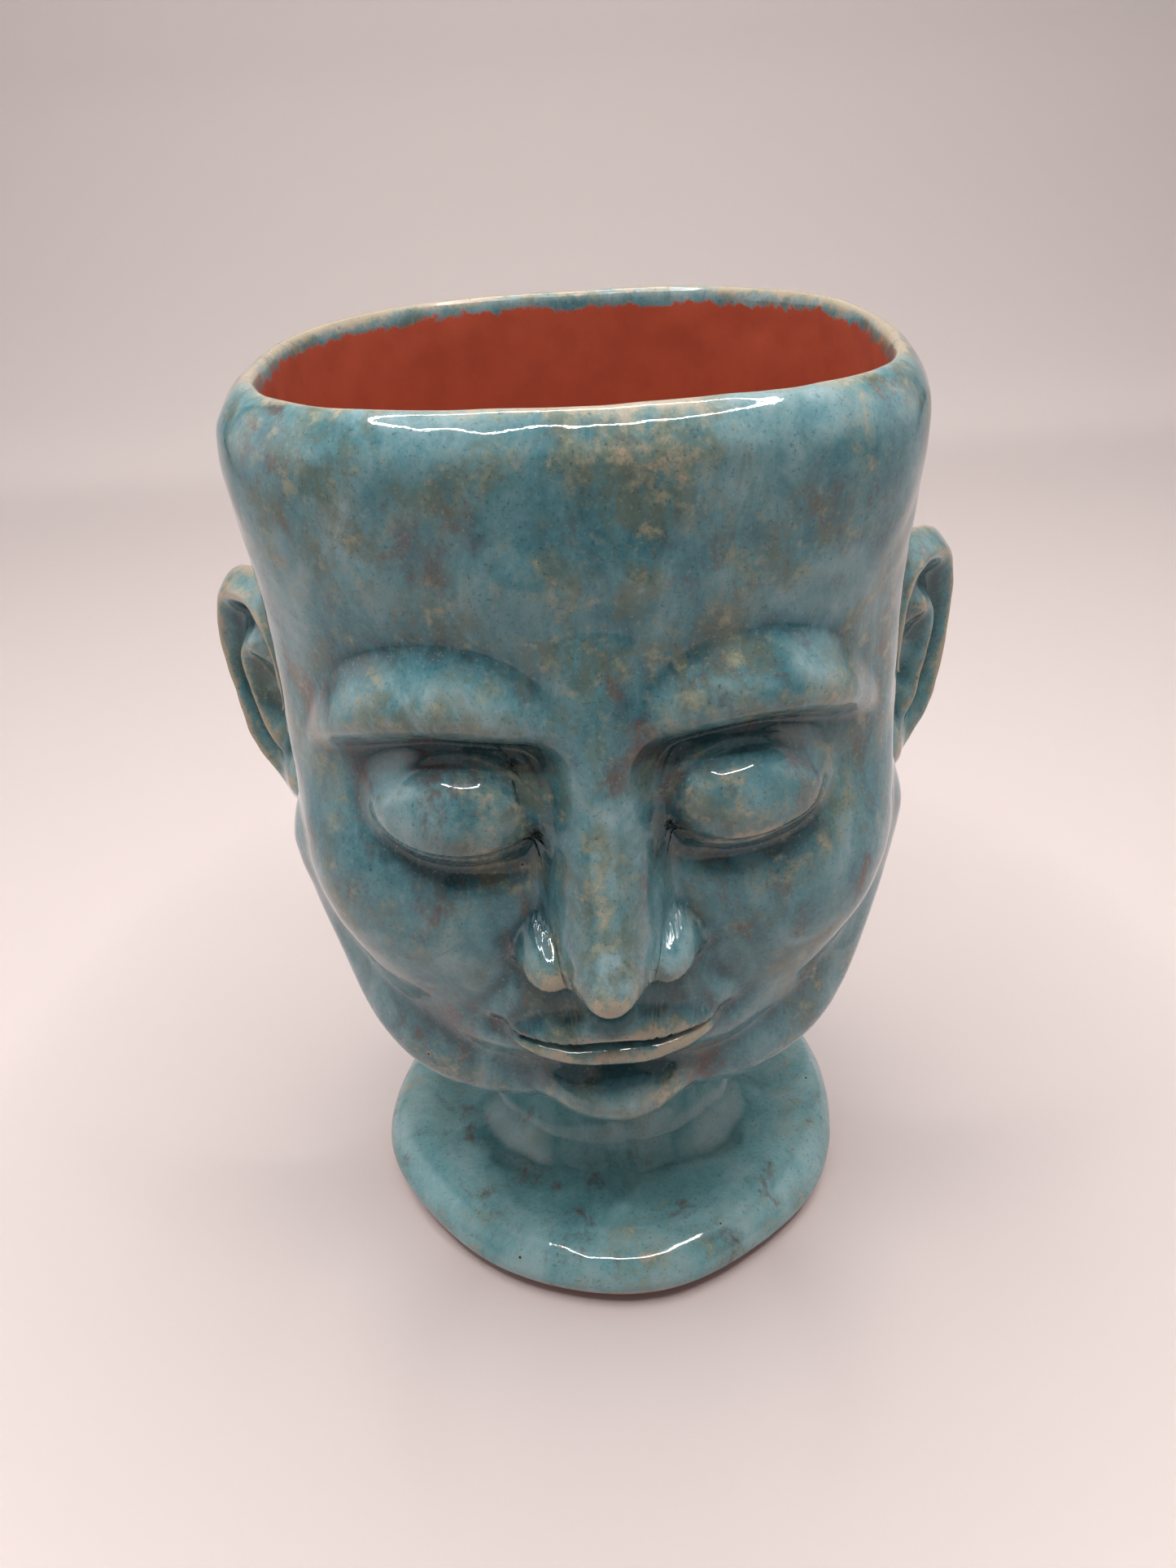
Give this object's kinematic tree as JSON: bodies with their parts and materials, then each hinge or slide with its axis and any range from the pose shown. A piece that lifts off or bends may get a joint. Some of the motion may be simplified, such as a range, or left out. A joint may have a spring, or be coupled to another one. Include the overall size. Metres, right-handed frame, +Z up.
{
  "type": "ceramic face goblet",
  "caption": "Hand-built glazed ceramic goblet whose bowl is a calm human head with shut eyes and flared ears, on a short waisted neck and a round dished foot.",
  "frame": {"origin": "centre of the foot's flat underside, on the table", "axes": "+Z up along the neck's axis, out of the cup's mouth; the face looks along -Y; the head's own left is +X"},
  "size_m": [0.104, 0.087, 0.125],
  "materials": {
    "head_glaze": "glossy mottled turquoise glaze over red clay",
    "lip_glaze": "glossy turquoise glaze, thin and tan over the lip",
    "foot_glaze": "glossy even turquoise glaze over red clay"
  },
  "bodies": {
    "root": {"foot_disc": "foot_glaze", "neck": "foot_glaze", "head_cup": "head_glaze", "lip_coil": "lip_glaze", "nose": "head_glaze", "nose_wing_left": "head_glaze", "nose_wing_right": "head_glaze", "mouth_mound": "head_glaze", "upper_lip": "head_glaze", "lower_lip": "head_glaze", "chin": "head_glaze", "eyeball_left": "head_glaze", "eyeball_right": "head_glaze", "upper_lid_left": "head_glaze", "upper_lid_right": "head_glaze", "lower_lid_left": "head_glaze", "lower_lid_right": "head_glaze", "brow_left": "head_glaze", "brow_right": "head_glaze", "cheek_left": "head_glaze", "cheek_right": "head_glaze", "jaw_left": "head_glaze", "jaw_right": "head_glaze", "ear_left": "head_glaze", "ear_right": "head_glaze"}
  },
  "joints": []
}
